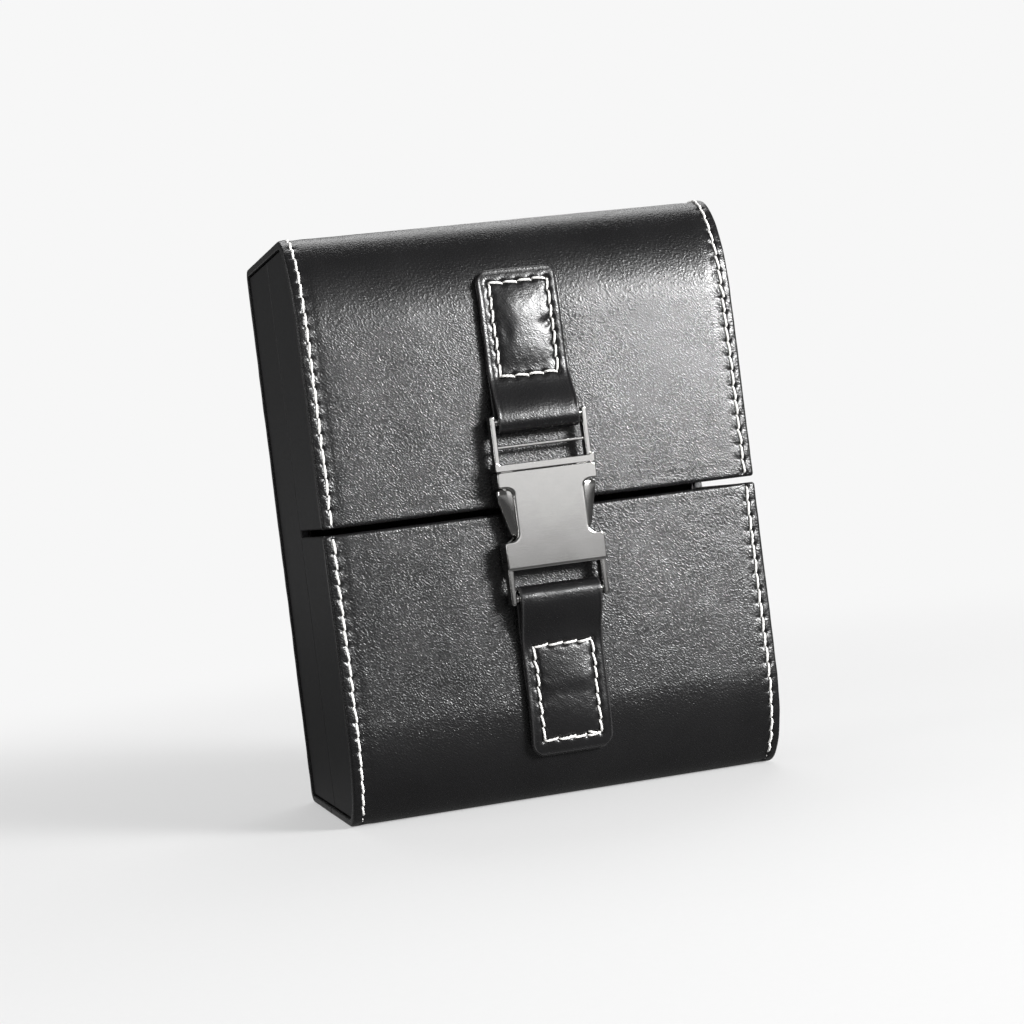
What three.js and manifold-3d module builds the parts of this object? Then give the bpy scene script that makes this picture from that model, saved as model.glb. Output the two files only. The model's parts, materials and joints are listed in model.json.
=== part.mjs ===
// Small hard travel case with two front doors, closed by a side-release buckle.
// A leather skin wraps lower front, bottom, back, top and upper front. The rear tray
// carries the upper and the lower door on the leather itself, which bends at the seam.
// Millimetres. +Z up, front towards -Y. The origin is under the middle of the whole
// object, buckle included, at the level of the base.
import * as THREE from 'three';
import { mergeVertices } from 'three/addons/utils/BufferGeometryUtils.js';
import Module from 'manifold-3d';

// ---- driving dimensions ----
const WIDTH = 129.4;          // over the stitched edges
const HEIGHT = 170;
const DEPTH = 88;             // case alone, front face to back face
const SEAM_DEPTH = 46;        // front face to the seam between doors and rear tray
const CORNER_Y = 18;          // front corners are elliptical: depth of the curve
const CORNER_Z = 30;          // and its height
const BACK_R = 3.5;           // back corners
const SKIN_T = 2.2;           // leather with its turned edge
const BOARD_T = 1.8;
const LINING_T = 0.6;
const GAP = 0.3;              // between pieces that touch
const END_INSET = 0.8;        // end panels sit this far inside the skin's edge
const END_T = 2.5;
const LIP_Z = 85.3;           // parting line between the doors
const LIP_GAP = 1.8;          // open slit at the parting line
const HINGE_HALF = 3.7;       // half the width of the bending leather at the seam
const HINGE_T = 1.7;
const THREAD_X = 61.8;        // stitch rows, from the middle
const THREAD_W = 1.0;
const THREAD_T = 0.5;
const STRAP_W = 24;
const STRAP_T = 2.9;          // two layers, sewn down
const STRAP_TOP_Z = 154;
const STRAP_LOW_Z = 13.9;
const BAR_OUT = 5.0;          // buckle bars ahead of the front face
const BAR_R = 1.4;
const MALE_BAR_Z = 110.4;
const FEMALE_BAR_Z = 59.9;
const BUCKLE_W = 29.2;
const BUCKLE_HALF_T = 3.8;
const MOUTH_TOP = 96;
const MOUTH_LOW = 91.5;
const BLOCK_TOP = 76.2;
const BLOCK_LOW = 68;
const WAIST = 10.5;
const CAVITY_X = 13.2;
const CAVITY_HALF_T = 2.5;
const ARC = 10;               // steps along each rounded corner

// ---- derived places ----
const BUCKLE_PROUD = BAR_OUT + BUCKLE_HALF_T; // front of the buckle ahead of the case
const YF = -(DEPTH - BUCKLE_PROUD) / 2;      // front face
const YB = YF + DEPTH;                       // back face
const YS = YF + SEAM_DEPTH;                  // seam
const XE = WIDTH / 2;                        // skin's side edge
const X_END_OUT = XE - END_INSET;            // end panels' outer face
const X_END_IN = X_END_OUT - END_T;
const X_IN = X_END_IN - GAP;                 // boards and linings reach to here
const UPPER_LIP = LIP_Z + LIP_GAP / 2;
const LOWER_LIP = LIP_Z - LIP_GAP / 2;
const I_PANEL = SKIN_T + GAP;                // insets from the outer surface
const I_BOARD = SKIN_T + GAP;
const I_LINING = I_BOARD + BOARD_T + GAP;
const BAR_Y = YF - BAR_OUT;

// ---- materials ----
const leather = (hex, rough) => new THREE.MeshStandardMaterial({ color: hex, roughness: rough, metalness: 0 });
const M = {
  skin: leather(0x17181a, 0.45),
  end: leather(0x2a2b2e, 0.4),
  strap: leather(0x1b1c1e, 0.35),
  board: leather(0x8a7a5c, 0.9),
  lining: leather(0x3a3634, 0.95),
  thread: leather(0xdedbd2, 0.8),
  metal: new THREE.MeshStandardMaterial({ color: 0xc9cacc, roughness: 0.12, metalness: 1 }),
};

// ---- solid tools ----
const wasm = await Module();
wasm.setup();

function toSolid(geometry) {
  const g = geometry.clone();
  g.deleteAttribute('normal');
  g.deleteAttribute('uv');
  const m = mergeVertices(g, 1e-4);
  return new wasm.Manifold(new wasm.Mesh({
    numProp: 3,
    vertProperties: new Float32Array(m.attributes.position.array),
    triVerts: new Uint32Array(m.index.array),
  }));
}

function toGeometry(solid) {
  const mesh = solid.getMesh();
  const g = new THREE.BufferGeometry();
  g.setAttribute('position', new THREE.BufferAttribute(new Float32Array(mesh.vertProperties), 3));
  g.setIndex(new THREE.BufferAttribute(new Uint32Array(mesh.triVerts), 1));
  g.computeVertexNormals();
  return g;
}

// Points that lie on a straight run between their neighbours are left out.
function corners(points) {
  const kept = points.slice();
  for (let i = 0; i < kept.length && kept.length > 3;) {
    const n = kept.length, [a, b, c] = [kept[(i + n - 1) % n], kept[i], kept[(i + 1) % n]];
    const area = (b[0] - a[0]) * (c[1] - a[1]) - (b[1] - a[1]) * (c[0] - a[0]);
    if (Math.abs(area) < 1e-4) { kept.splice(i, 1); i = Math.max(0, i - 1); } else i++;
  }
  const line = kept.map(([a, b]) => new THREE.Vector2(a, b));
  return THREE.ShapeUtils.isClockWise(line) ? line.reverse() : line;
}
const shapeOf = (points) => new THREE.Shape(corners(points));

// A profile in the (Y, Z) plane, run along X from x0 to x1. Local axes are (Y, Z, X).
function along(points, x0, x1, hole) {
  const s = shapeOf(points);
  if (hole) s.holes.push(new THREE.Path(corners(hole).reverse()));
  const g = new THREE.ExtrudeGeometry(s, { depth: x1 - x0, bevelEnabled: false, steps: 1 });
  g.translate(0, 0, x0);
  return g;
}

// A profile in the (X, Z) plane, run along Y from y0 to y1, in the same local axes (Y, Z, X).
function across(points, y0, y1, hole) {
  const s = shapeOf(points.map(([x, z]) => [x, z]));
  if (hole) s.holes.push(new THREE.Path(corners(hole).reverse()));
  const g = new THREE.ExtrudeGeometry(s, { depth: y1 - y0, bevelEnabled: false, steps: 1, curveSegments: 6 });
  // (x, z, t) to (Y = y1 - t, Z = z, X = x)
  g.applyMatrix4(new THREE.Matrix4().set(0, 0, -1, y1, 0, 1, 0, 0, 1, 0, 0, 0, 0, 0, 0, 1));
  return g;
}

const rect = (y0, z0, y1, z1) => [[y0, z0], [y1, z0], [y1, z1], [y0, z1]];

// ---- section of the case ----
const zSide = (upper, z) => (upper ? z : HEIGHT - z);

// A door's outer line at an inset, from its seam end to its lip end.
function doorLine(upper, inset, ySeam, zLip) {
  const pts = [[ySeam, HEIGHT - inset]];
  for (let i = 0; i <= ARC; i++) {
    const a = Math.PI / 2 + (Math.PI / 2) * (i / ARC);
    pts.push([YF + CORNER_Y + (CORNER_Y - inset) * Math.cos(a), HEIGHT - CORNER_Z + (CORNER_Z - inset) * Math.sin(a)]);
  }
  pts.push([YF + inset, upper ? zLip : HEIGHT - zLip]);
  return pts.map(([y, z]) => [y, zSide(upper, z)]);
}
const doorBand = (upper, i0, i1, ySeam, zLip) =>
  doorLine(upper, i0, ySeam, zLip).concat(doorLine(upper, i1, ySeam, zLip).reverse());
function doorFill(upper, inset, ySeam, zLip) {
  return doorLine(upper, inset, ySeam, zLip).concat([[ySeam, zLip]]);
}

// The rear tray's outer line at an inset, from the top seam end round the back to the bottom one.
function rearLine(inset, ySeam) {
  const pts = [[ySeam, HEIGHT - inset]];
  const r = Math.max(BACK_R - inset, 0.05);
  for (let i = 0; i <= 5; i++) {
    const a = Math.PI / 2 - (Math.PI / 2) * (i / 5);
    pts.push([YB - BACK_R + r * Math.cos(a) + (inset > BACK_R ? BACK_R - inset : 0), HEIGHT - BACK_R + r * Math.sin(a) + (inset > BACK_R ? BACK_R - inset : 0)]);
  }
  return pts.concat(pts.slice().reverse().map(([y, z]) => [y, HEIGHT - z]));
}
const rearBand = (i0, i1, ySeam) => rearLine(i0, ySeam).concat(rearLine(i1, ySeam).reverse());

// Front face's place at a height.
function faceY(z) {
  const d = Math.max(z - (HEIGHT - CORNER_Z), CORNER_Z - z, 0) / CORNER_Z;
  return YF + CORNER_Y * (1 - Math.sqrt(Math.max(0, 1 - d * d)));
}

// ---- groups ----
const object = new THREE.Group();
object.name = 'travel_case';
// Local axes (Y, Z, X) turned into the object's X, Y, Z.
const section = new THREE.Group();
section.quaternion.setFromRotationMatrix(new THREE.Matrix4().makeBasis(
  new THREE.Vector3(0, 1, 0), new THREE.Vector3(0, 0, 1), new THREE.Vector3(1, 0, 0)));
object.add(section);

const group = (parent, y, z) => {
  const g = new THREE.Group();
  g.position.set(y, z, 0);
  parent.add(g);
  return g;
};
const rear = group(section, 0, 0);
const upper = group(section, YS, HEIGHT);     // turns about the top seam
const lower = group(section, YS, 0);          // turns about the bottom seam
const male = group(upper, BAR_Y - YS, MALE_BAR_Z - HEIGHT);
const female = group(lower, BAR_Y - YS, FEMALE_BAR_Z);

// Geometry is drawn in the case's own coordinates and hung in its group.
function put(name, geometry, material, parent) {
  let y = 0, z = 0;
  for (let p = parent; p && p !== section; p = p.parent) { y += p.position.x; z += p.position.y; }
  const g = geometry.clone();
  g.translate(-y, -z, 0);
  const mesh = new THREE.Mesh(g, material);
  mesh.name = name;
  parent.add(mesh);
  return mesh;
}

// ---- skins with their stitch rows ----
function stitched(base, makeBand, parent, skinName, rows) {
  let skin = toSolid(base);
  for (const [name, sign] of rows) {
    const a = sign > 0 ? THREAD_X - THREAD_W / 2 : -THREAD_X - THREAD_W / 2;
    skin = skin.subtract(toSolid(along(makeBand(-1, THREAD_T + 0.35, 0), a - GAP, a + THREAD_W + GAP)));
    put(name, along(makeBand(0.05, 0.05 + THREAD_T, 0.4), a, a + THREAD_W), M.thread, parent);
  }
  put(skinName, toGeometry(skin), M.skin, parent);
}

const SKIN_SEAM = HINGE_HALF + GAP;
const ROW_END = 6.5;          // rows stop this far from the seam
const ROW_LIP = 2.2;          // and this far from a door's lip

stitched(along(rearBand(0, SKIN_T, YS + SKIN_SEAM), -XE, XE),
  (i0, i1, trim) => rearBand(i0, i1, YS + ROW_END + trim), rear, 'rear_leather_skin',
  [['left_rear_stitching', -1], ['right_rear_stitching', 1]]);

for (const up of [true, false]) {
  const n = up ? 'upper' : 'lower';
  const g = up ? upper : lower;
  const lip = up ? UPPER_LIP : LOWER_LIP;
  const away = up ? 1 : -1;
  stitched(along(doorBand(up, 0, SKIN_T, YS - SKIN_SEAM, lip), -XE, XE),
    (i0, i1, trim) => doorBand(up, i0, i1, YS - ROW_END - trim, lip + away * (ROW_LIP + trim)), g,
    `${n}_leather_skin`, [[`left_${n}_stitching`, -1], [`right_${n}_stitching`, 1]]);

  // end panels
  const panel = doorFill(up, I_PANEL, YS - GAP / 2, lip);
  put(`left_${n}_end_panel`, along(panel, -X_END_OUT, -X_END_IN), M.end, g);
  put(`right_${n}_end_panel`, along(panel, X_END_IN, X_END_OUT), M.end, g);

  // one bent board forms the front, the curve and the top or bottom
  put(`${n}_door_board`, along(doorBand(up, I_BOARD, I_BOARD + BOARD_T, YS - GAP / 2, lip), -X_IN, X_IN), M.board, g);

  // lining tray, open towards the rear tray and at the lip
  const outer = toSolid(along(doorFill(up, I_LINING, YS - 0.4, lip), -X_IN, X_IN));
  const inner = toSolid(along(doorFill(up, I_LINING + LINING_T, YS + 5, lip - away * 5), -X_IN + LINING_T, X_IN - LINING_T));
  put(`${n}_door_lining`, toGeometry(outer.subtract(inner)), M.lining, g);
}

// ---- rear tray ----
{
  const line = rearLine(I_PANEL, YS + GAP / 2);
  put('left_rear_end_panel', along(line, -X_END_OUT, -X_END_IN), M.end, rear);
  put('right_rear_end_panel', along(line, X_END_IN, X_END_OUT), M.end, rear);
  const y1 = YB - I_BOARD - 0.8;
  put('rear_top_board', along(rect(YS + GAP / 2, HEIGHT - I_BOARD - BOARD_T, y1, HEIGHT - I_BOARD), -X_IN, X_IN), M.board, rear);
  put('rear_bottom_board', along(rect(YS + GAP / 2, I_BOARD, y1, I_BOARD + BOARD_T), -X_IN, X_IN), M.board, rear);
  put('back_board', along(rect(YB - I_BOARD - BOARD_T, I_LINING, YB - I_BOARD, HEIGHT - I_LINING), -X_IN, X_IN), M.board, rear);
  const outer = toSolid(along(rect(YS + 0.4, I_LINING, YB - I_LINING, HEIGHT - I_LINING), -X_IN, X_IN));
  const inner = toSolid(along(rect(YS - 5, I_LINING + LINING_T, YB - I_LINING - LINING_T, HEIGHT - I_LINING - LINING_T), -X_IN + LINING_T, X_IN - LINING_T));
  put('rear_tray_lining', toGeometry(outer.subtract(inner)), M.lining, rear);
  // the leather that bends at the seam
  put('top_hinge_leather', along(rect(YS - HINGE_HALF, HEIGHT - HINGE_T, YS + HINGE_HALF, HEIGHT), -XE, XE), M.skin, rear);
  put('bottom_hinge_leather', along(rect(YS - HINGE_HALF, 0, YS + HINGE_HALF, HINGE_T), -XE, XE), M.skin, rear);
}

// ---- straps: a folded band, sewn to the door, that loops round a buckle bar ----
const bezier = (p, n) => {
  const c = new THREE.CubicBezierCurve(...p.map(([a, b]) => new THREE.Vector2(a, b)));
  return c.getPoints(n).map((v) => [v.x, v.y]);
};
const LOOP_R = BAR_R + 0.4;
const LOOP_OUT = LOOP_R + 1.7;
// [distance ahead of the front face, distance from the bar towards the sewn end]
const STRAP_OUTER = bezier([[BAR_OUT + LOOP_OUT, 0], [BAR_OUT + LOOP_OUT, 6], [STRAP_T + 0.1, 9], [STRAP_T, 17]], 8);

function strap(up) {
  const n = up ? 'upper' : 'lower';
  const zBar = up ? MALE_BAR_Z : FEMALE_BAR_Z;
  const away = up ? 1 : -1;
  const end = up ? STRAP_TOP_Z - zBar : zBar - STRAP_LOW_Z;
  const at = ([out, a]) => {
    const z = zBar + away * a;
    return [faceY(z) - out, z];
  };
  const arc = (r, a0, a1, k) => Array.from({ length: k + 1 }, (_, i) => {
    const t = a0 + (a1 - a0) * (i / k);
    return [BAR_OUT + r * Math.cos(t), r * Math.sin(t)];
  });
  const run = (out, a0, a1, k) => Array.from({ length: k + 1 }, (_, i) => [out, a0 + (a1 - a0) * (i / k)]);
  const body = [
    ...arc(LOOP_OUT, -Math.PI, 0, 10),
    ...STRAP_OUTER.slice(1),
    ...run(STRAP_T, 20, end - 1.2, 7),
    [STRAP_T - 0.9, end],
    [0.35, end],
    ...run(0.35, end - 1.2, 10, 7),
    ...bezier([[0.35, 8], [0.35, 4], [BAR_OUT - LOOP_OUT, 3], [BAR_OUT - LOOP_OUT, 0]], 4).slice(0, -1),
  ].map(at);
  const eye = [
    ...arc(LOOP_R, -Math.PI, 0, 10),
    ...bezier([[BAR_OUT + LOOP_R, 0], [BAR_OUT + LOOP_R, 4.5], [2.4, 7.5], [1.6, 12]], 6).slice(1),
    ...bezier([[1.6, 12], [1.9, 6], [BAR_OUT - LOOP_R, 4], [BAR_OUT - LOOP_R, 0]], 6).slice(1, -1),
  ].map(at);
  let solid = toSolid(along(body, -STRAP_W / 2, STRAP_W / 2, eye));

  // stitched rectangle, one closed row of thread in a groove
  const [z0, z1] = up ? [123.2, 150.2] : [18.5, 45.6];
  const ringLine = (grow) => [[-8.6 - grow, z0 - grow], [8.6 + grow, z0 - grow], [8.6 + grow, z1 + grow], [-8.6 - grow, z1 + grow]];
  const ring = (w) => toSolid(across(ringLine(w / 2), YF - 12, YF + 12, ringLine(-w / 2)));
  const top = [...STRAP_OUTER.filter(([, a]) => a > 5), ...run(STRAP_T, 20, end - 0.5, 7)];
  const band = (d0, d1) => toSolid(along([...top.map(([o, a]) => at([o - d0, a])), ...top.slice().reverse().map(([o, a]) => at([o - d1, a]))], -STRAP_W / 2, STRAP_W / 2));
  solid = solid.subtract(band(-1, THREAD_T + 0.35).intersect(ring(THREAD_W + 2 * GAP)));
  const thread = band(0.05, 0.05 + THREAD_T).intersect(ring(THREAD_W));
  const g = up ? upper : lower;
  put(`${n}_strap`, toGeometry(solid), M.strap, g);
  put(`${n}_strap_stitching`, toGeometry(thread), M.thread, g);
}
strap(true);
strap(false);

// ---- buckle ----
const barRod = (z, half) => {
  const g = new THREE.CylinderGeometry(BAR_R, BAR_R, 2 * half, 16);
  g.rotateX(Math.PI / 2);             // along local Z, which is the object's X
  g.translate(BAR_Y, z, 0);
  return toSolid(g);
};
const plate = (points, half, hole) => toSolid(across(points, BAR_Y - half, BAR_Y + half, hole));
const mirror = (pts) => pts.concat(pts.slice().reverse().map(([x, z]) => [-x, z]));
const box = (x0, x1, z0, z1, half) => plate([[x0, z0], [x1, z0], [x1, z1], [x0, z1]], half);
const HALF_W = BUCKLE_W / 2;
const POST_IN = 12.8;

{
  const fillet = (cx, cz, r, a0, a1) => Array.from({ length: 5 }, (_, i) => {
    const t = ((a0 + (a1 - a0) * (i / 4)) * Math.PI) / 180;
    return [cx + r * Math.cos(t), cz + r * Math.sin(t)];
  });
  const R = 2.4;
  const side = [
    [0, BLOCK_LOW], [HALF_W, BLOCK_LOW], [HALF_W, BLOCK_TOP - 0.8], [HALF_W - 0.8, BLOCK_TOP],
    ...fillet(WAIST + R, BLOCK_TOP + R, R, 270, 180),
    ...fillet(WAIST + R, MOUTH_LOW - R, R, 180, 90),
    [HALF_W, MOUTH_LOW], [HALF_W, MOUTH_TOP - 0.6], [HALF_W - 0.6, MOUTH_TOP], [0, MOUTH_TOP],
  ];
  const outline = side.concat(side.slice(1, -1).reverse().map(([x, z]) => [-x, z]));
  let body = plate(outline, BUCKLE_HALF_T);
  body = body.subtract(box(-CAVITY_X, CAVITY_X, 71, MOUTH_TOP + 3, CAVITY_HALF_T));
  for (const s of [-1, 1]) {
    body = body.add(box(s > 0 ? POST_IN : -HALF_W + 0.1, s > 0 ? HALF_W - 0.1 : -POST_IN, FEMALE_BAR_Z - 1.9, BLOCK_LOW + 0.6, 2.4));
  }
  body = body.add(barRod(FEMALE_BAR_Z, POST_IN + 0.5));
  put('buckle_female_body', toGeometry(body), M.metal, female);
}
{
  let body = box(-HALF_W, HALF_W, MOUTH_TOP + 0.5, MOUTH_TOP + 2.1, 3.0);
  for (const s of [-1, 1]) {
    body = body.add(box(s > 0 ? POST_IN : -HALF_W + 0.3, s > 0 ? HALF_W - 0.3 : -POST_IN, MOUTH_TOP + 1.8, MALE_BAR_Z + 1.7, 1.9));
  }
  body = body.add(box(-POST_IN - 0.5, POST_IN + 0.5, 102.6, 103.6, 1.1));
  body = body.add(barRod(MALE_BAR_Z, POST_IN + 0.5));
  put('buckle_male_frame', toGeometry(body), M.metal, male);
}
{
  const outline = [[9.2, MOUTH_TOP + 0.2], [12.9, MOUTH_TOP + 0.2], [12.9, MOUTH_LOW - 0.2], [14.3, MOUTH_LOW - 0.3], [14.75, 90.4], [14.4, 88],
    [13.2, 82], [12.3, 78.4], [11.4, 77.2], [9.8, 77.2], [9.2, 78]];
  put('right_prong', toGeometry(plate(outline, 2.1)), M.metal, male);
  put('left_prong', toGeometry(plate(outline.map(([x, z]) => [-x, z]).reverse(), 2.1)), M.metal, male);
}

export default object;
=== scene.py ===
"""Looks of the small two-door travel case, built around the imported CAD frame. Lengths here are in
millimetres until a mesh is made, and every place comes from the frame's boxes and joints."""

import json
import math

import bmesh
import bpy
import numpy as np
from mathutils import Matrix, Vector


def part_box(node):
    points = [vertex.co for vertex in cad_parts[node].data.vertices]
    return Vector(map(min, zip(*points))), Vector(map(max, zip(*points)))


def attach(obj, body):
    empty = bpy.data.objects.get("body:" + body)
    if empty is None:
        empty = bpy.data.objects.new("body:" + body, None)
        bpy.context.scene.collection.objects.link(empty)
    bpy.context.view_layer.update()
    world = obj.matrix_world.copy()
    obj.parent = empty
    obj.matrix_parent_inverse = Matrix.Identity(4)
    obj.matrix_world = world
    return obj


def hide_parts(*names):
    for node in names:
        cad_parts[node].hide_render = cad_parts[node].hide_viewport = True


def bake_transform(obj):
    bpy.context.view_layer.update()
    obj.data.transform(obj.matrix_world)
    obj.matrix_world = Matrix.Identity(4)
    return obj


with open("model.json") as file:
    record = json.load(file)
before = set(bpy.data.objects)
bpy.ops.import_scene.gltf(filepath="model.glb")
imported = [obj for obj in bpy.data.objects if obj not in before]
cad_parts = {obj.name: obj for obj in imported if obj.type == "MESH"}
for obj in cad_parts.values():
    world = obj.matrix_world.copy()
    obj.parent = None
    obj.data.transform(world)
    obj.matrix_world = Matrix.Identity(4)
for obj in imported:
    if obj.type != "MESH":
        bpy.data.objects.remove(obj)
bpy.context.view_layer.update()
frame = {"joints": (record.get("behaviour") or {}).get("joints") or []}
MM = 0.001


def box(node):
    lo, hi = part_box(node)
    return np.array(lo) * 1000, np.array(hi) * 1000


JOINT = {j["name"]: j for j in frame["joints"]}
U_LO, U_HI = box("upper_leather_skin")
L_LO, L_HI = box("lower_leather_skin")
R_LO, R_HI = box("rear_leather_skin")
P_LO, P_HI = box("left_rear_end_panel")
YF, YB, H, XE = U_LO[1], R_HI[1], U_HI[2], U_HI[0]
YS = JOINT["upper_door_hinge"]["pos_m"][1] * 1000
BAR_Y = JOINT["buckle_male_swing"]["pos_m"][1] * 1000
MALE_Z = JOINT["buckle_male_swing"]["pos_m"][2] * 1000
FEMALE_Z = JOINT["buckle_female_swing"]["pos_m"][2] * 1000
UPPER_LIP, LOWER_LIP = U_LO[2], L_HI[2]
PANEL_OUT, PANEL_IN = -P_LO[0], -P_HI[0]
SKIN_T, BOARD_T, LINING_T, GAP = 2.2, 1.8, 0.6, 0.3
CORNER_Y, CORNER_Z, BACK_R = 18.0, 30.0, 3.5
HINGE = 4.0
THREAD_X = 61.8
PITCH = 4.3
BAR_OUT = YF - BAR_Y


# ------------------------------------------------------------------ small tools
def smooth_noise(seed, waves=9, low=0.02, high=0.2):
    """A smooth function of two lengths in mm, made of a few sine waves, about -1 to 1."""
    r = np.random.default_rng(seed)
    k = r.uniform(low, high, waves) * 2 * math.pi
    a = r.uniform(0, 2 * math.pi, waves)
    p = r.uniform(0, 2 * math.pi, waves)
    w = 1.0 / np.sqrt(k / k.min())
    w = w / w.sum() * 1.8

    def f(u, v):
        u, v = np.asarray(u, float), np.asarray(v, float)
        t = 0.0
        for i in range(waves):
            t = t + w[i] * np.sin(k[i] * (u * math.cos(a[i]) + v * math.sin(a[i])) + p[i])
        return t

    return f


def new_object(name, verts, faces, smooth=True, rest=True):
    me = bpy.data.meshes.new(name)
    me.from_pydata((np.asarray(verts, float) * MM).tolist(), [], [list(map(int, f)) for f in faces])
    me.validate(clean_customdata=False)
    me.update()
    ob = bpy.data.objects.new(name, me)
    bpy.context.scene.collection.objects.link(ob)
    if smooth:
        me.polygons.foreach_set("use_smooth", [True] * len(me.polygons))
    return ob


def fix_normals(ob):
    bm = bmesh.new()
    bm.from_mesh(ob.data)
    bmesh.ops.recalc_face_normals(bm, faces=bm.faces)
    bm.to_mesh(ob.data)
    bm.free()
    return ob


def keep_rest(ob):
    """Stores each point's place at rest, which the materials use, so that a texture stays on a piece that bends."""
    me = ob.data
    co = np.zeros(len(me.vertices) * 3, np.float32)
    me.vertices.foreach_get("co", co)
    a = me.attributes.get("rest_place") or me.attributes.new("rest_place", "FLOAT_VECTOR", "POINT")
    a.data.foreach_set("vector", co)


def finish_piece(ob, body, material, nodes=(), blend=None):
    ob.data.materials.clear()
    ob.data.materials.append(material)
    keep_rest(ob)
    if blend:
        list(blend[0])
        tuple(blend[1])
        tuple(blend[2])
        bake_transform(ob)
    else:
        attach(ob, body)
    if nodes:
        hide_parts(*nodes)
    return ob


def apply_modifiers(ob):
    dg = bpy.context.evaluated_depsgraph_get()
    me = bpy.data.meshes.new_from_object(ob.evaluated_get(dg))
    old = ob.data
    ob.modifiers.clear()
    ob.data = me
    bpy.data.meshes.remove(old)
    return ob


def join_arrays(parts):
    verts, faces, n = [], [], 0
    for v, f in parts:
        verts.append(np.asarray(v, float))
        faces.extend([[i + n for i in face] for face in f])
        n += len(v)
    return np.concatenate(verts), faces


class Path:
    """A line in the (Y, Z) plane, with length along it and the direction that points out of the case."""

    def __init__(self, pts, outward=True):
        p = np.asarray(pts, float)
        keep = np.concatenate([[True], np.linalg.norm(np.diff(p, axis=0), axis=1) > 1e-6])
        p = p[keep]
        seg = np.linalg.norm(np.diff(p, axis=0), axis=1)
        self.s = np.concatenate([[0], np.cumsum(seg)])
        self.length = self.s[-1]
        t = np.diff(p, axis=0) / seg[:, None]
        tv = np.concatenate([t[:1], (t[1:] + t[:-1]), t[-1:]])
        tv /= np.linalg.norm(tv, axis=1)[:, None]
        self.p = p
        self.n = np.stack([tv[:, 1], -tv[:, 0]], 1)
        if outward and np.dot(self.n[0], p[0] - (YS, H / 2)) < 0:
            self.n = -self.n

    def at(self, s, h=0.0):
        s = np.asarray(s, float)
        y, z = np.interp(s, self.s, self.p[:, 0]), np.interp(s, self.s, self.p[:, 1])
        ny, nz = np.interp(s, self.s, self.n[:, 0]), np.interp(s, self.s, self.n[:, 1])
        l = np.sqrt(ny * ny + nz * nz)
        return y + ny / l * h, z + nz / l * h, ny / l, nz / l


def door_points(upper, inset, y_seam, z_lip, k=72):
    pts = [[y_seam, H - inset]]
    flat = np.linspace(y_seam, YF + CORNER_Y, 12)[1:-1]
    pts += [[y, H - inset] for y in flat]
    for i in range(k + 1):
        a = math.pi / 2 * (1 + i / k)
        pts.append([YF + CORNER_Y + (CORNER_Y - inset) * math.cos(a), H - CORNER_Z + (CORNER_Z - inset) * math.sin(a)])
    end = z_lip if upper else H - z_lip
    pts += [[YF + inset, z] for z in np.linspace(H - CORNER_Z, end, 16)[1:]]
    return [[y, z if upper else H - z] for y, z in pts]


def rear_points(inset, y_seam, r=BACK_R, k=14):
    r = max(r - inset, 0.3)
    c = (YB - inset - r, H - inset - r)
    pts = [[y, H - inset] for y in np.linspace(y_seam, c[0], 12)[:-1]]
    for i in range(k + 1):
        a = math.pi / 2 * (1 - i / k)
        pts.append([c[0] + r * math.cos(a), c[1] + r * math.sin(a)])
    low = [[y, H - z] for y, z in pts[::-1]]
    mid = [[YB - inset, z] for z in np.linspace(c[1], H - c[1], 30)[1:-1]]
    return pts + mid + low


def face_y(z):
    d = max(z - (H - CORNER_Z), CORNER_Z - z, 0) / CORNER_Z
    return YF + CORNER_Y * (1 - math.sqrt(max(0, 1 - d * d)))


# ------------------------------------------------------------------ sheets that follow a path
def section(half, thick, r_out, r_in, fine, coarse, fine_width, inner=7):
    """Cross-section of a sheet: points (x, h, outer share) round a closed loop, h 0 outside and -thick inside."""
    xs = [0.0]
    x = half - r_out
    step = fine
    side = []
    while x > 0.4 * coarse:
        side.append(x)
        if half - x > fine_width:
            step = min(coarse, step * 1.35)
        x -= step
    xs = np.array([-v for v in side] + [0.0] + side[::-1]) if side else np.array([0.0])
    pts = [(v, 0.0, 1.0) for v in xs]
    n = 5
    for i in range(1, n + 1):
        a = math.pi / 2 * i / n
        pts.append((half - r_out + r_out * math.sin(a), -r_out * (1 - math.cos(a)), 1.0 - 0.5 * i / n))
    m = 4
    for i in range(0, m + 1):
        a = math.pi / 2 * i / m
        pts.append((half - r_in + r_in * math.cos(a), -thick + r_in * (1 - math.sin(a)), 0.3 * (1 - i / m)))
    for v in np.linspace(half - r_in, -(half - r_in), inner + 2)[1:-1]:
        pts.append((v, -thick, 0.0))
    for i in range(m, -1, -1):
        a = math.pi / 2 * i / m
        pts.append((-(half - r_in + r_in * math.cos(a)), -thick + r_in * (1 - math.sin(a)), 0.3 * (1 - i / m)))
    for i in range(n, 0, -1):
        a = math.pi / 2 * i / n
        pts.append((-(half - r_out + r_out * math.sin(a)), -r_out * (1 - math.cos(a)), 1.0 - 0.5 * i / n))
    return np.array(pts)


def stations(length, step, start_r, end_r, k=5):
    """Places along a sheet, each with how much its end's rounding takes off there."""
    out = []
    if start_r > 0:
        for i in range(k, 0, -1):
            a = math.pi / 2 * i / k
            out.append((start_r * (1 - math.sin(a)), start_r * (1 - math.cos(a))))
    s0, s1 = start_r, length - end_r
    n = max(2, int(round((s1 - s0) / step)))
    out += [(s, 0.0) for s in np.linspace(s0, s1, n + 1)]
    if end_r > 0:
        for i in range(1, k + 1):
            a = math.pi / 2 * i / k
            out.append((length - end_r + end_r * math.sin(a), end_r * (1 - math.cos(a))))
    return out


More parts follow.
